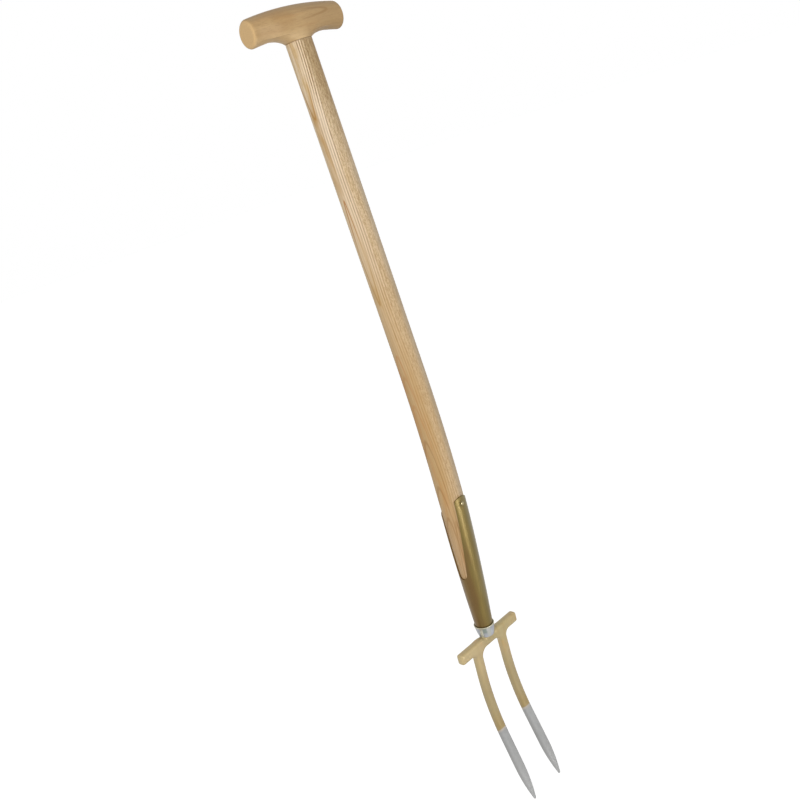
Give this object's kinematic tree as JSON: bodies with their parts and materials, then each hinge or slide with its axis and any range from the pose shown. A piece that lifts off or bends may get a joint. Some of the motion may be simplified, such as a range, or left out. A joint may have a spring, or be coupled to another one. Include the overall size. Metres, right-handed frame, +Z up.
{
  "type": "border fork",
  "caption": "Long-handled border fork: curved spear-pointed tines, forged crossbar with treads, strapped steel socket, cranked ash shaft and wooden T-grip.",
  "frame": {"origin": "middle of the T-grip, on the axis of the shaft", "axes": "+Z up along the straight upper shaft, towards the grip; +X along the grip, to the right of the front; -Y is the front, towards which the tines curve"},
  "size_m": [0.155, 0.0664, 1.2101],
  "materials": {
    "grip_wood": "sanded beech under a thin clear oil",
    "wedge_wood": "plain sawn hardwood",
    "shaft_wood": "sanded ash with straight open grain",
    "socket_paint": "satin bronze paint",
    "nail_steel": "bright",
    "collar_zinc": "zinc plated",
    "head_paint": "pale gold lacquer above, matte grey on the lower tines"
  },
  "bodies": {
    "root": {"t_grip": "grip_wood", "grip_wedge": "wedge_wood", "shaft": "shaft_wood", "strap_socket": "socket_paint", "front_strap_nail": "nail_steel", "rear_strap_nail": "nail_steel", "collar": "collar_zinc", "fork_head": "head_paint"}
  },
  "joints": []
}
